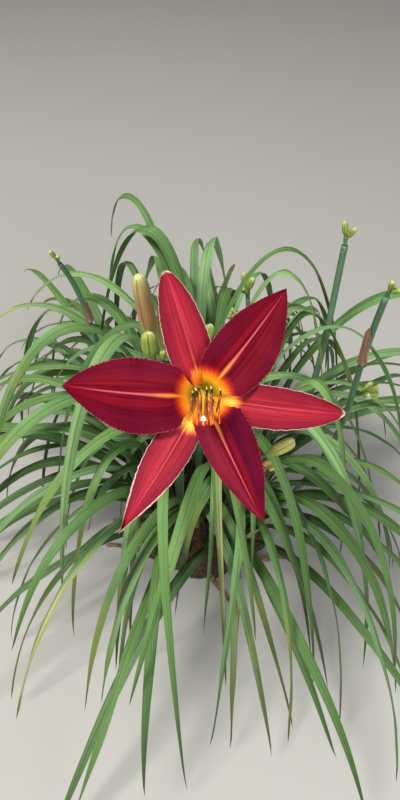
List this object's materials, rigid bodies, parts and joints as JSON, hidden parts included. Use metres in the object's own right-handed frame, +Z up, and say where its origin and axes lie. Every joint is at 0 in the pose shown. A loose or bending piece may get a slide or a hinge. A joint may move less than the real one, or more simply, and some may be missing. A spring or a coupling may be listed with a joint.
{
  "type": "daylily plant",
  "caption": "Flowering daylily clump with arching strap leaves, tall scapes with buds and one wide open bloom, standing on its flat rootstock.",
  "frame": {"origin": "centre of the rootstock's flat underside, on the surface that the plant stands on", "axes": "+Z up, -Y towards the viewer of the open bloom, +X to that viewer's right"},
  "size_m": [0.8404, 0.8516, 0.6351],
  "materials": {
    "petal": "satin",
    "sepal": "satin",
    "tube": "satin",
    "filament": "satin",
    "anther": "matte",
    "pistil": "satin",
    "bud": "satin",
    "bud_tan": "satin",
    "scape": "satin",
    "bract": "matte",
    "leaf": "satin",
    "crown": "matte"
  },
  "bodies": {
    "root": {"petal_upper_right": "petal", "petal_lower_right": "petal", "petal_left": "petal", "sepal_top": "sepal", "sepal_right": "sepal", "sepal_lower_left": "sepal", "perianth_tube": "tube", "filament_1": "filament", "filament_2": "filament", "filament_3": "filament", "filament_4": "filament", "filament_5": "filament", "filament_6": "filament", "anther_1": "anther", "anther_2": "anther", "anther_3": "anther", "anther_4": "anther", "anther_5": "anther", "anther_6": "anther", "pistil": "pistil", "bud_large": "bud_tan", "bud_tall": "bud", "bud_small_front": "bud", "bud_tiny": "bud", "bud_small_top": "bud", "bud_lower_right": "bud", "scape_of_bloom": "scape", "withered_flower_foot": "bract", "scape_left": "scape", "scape_right": "scape", "scape_upper_right": "scape", "scape_back": "scape", "buds_back_top": "bud", "buds_left_top": "bud", "buds_right_top": "bud", "buds_upper_right_top": "bud", "buds_right": "bud", "buds_back_low": "bud", "bract_left": "bract", "bract_right": "bract", "crown": "crown", "leaf_fan_01": "leaf", "leaf_fan_02": "leaf", "leaf_fan_03": "leaf", "leaf_fan_04": "leaf", "leaf_fan_05": "leaf", "leaf_fan_06": "leaf", "leaf_fan_07": "leaf", "leaf_fan_08": "leaf", "leaf_fan_09": "leaf", "leaf_fan_10": "leaf", "leaf_fan_11": "leaf", "leaf_fan_12": "leaf", "leaf_fan_13": "leaf", "leaf_fan_14": "leaf", "leaf_fan_15": "leaf", "leaf_fan_16": "leaf"}
  },
  "joints": []
}
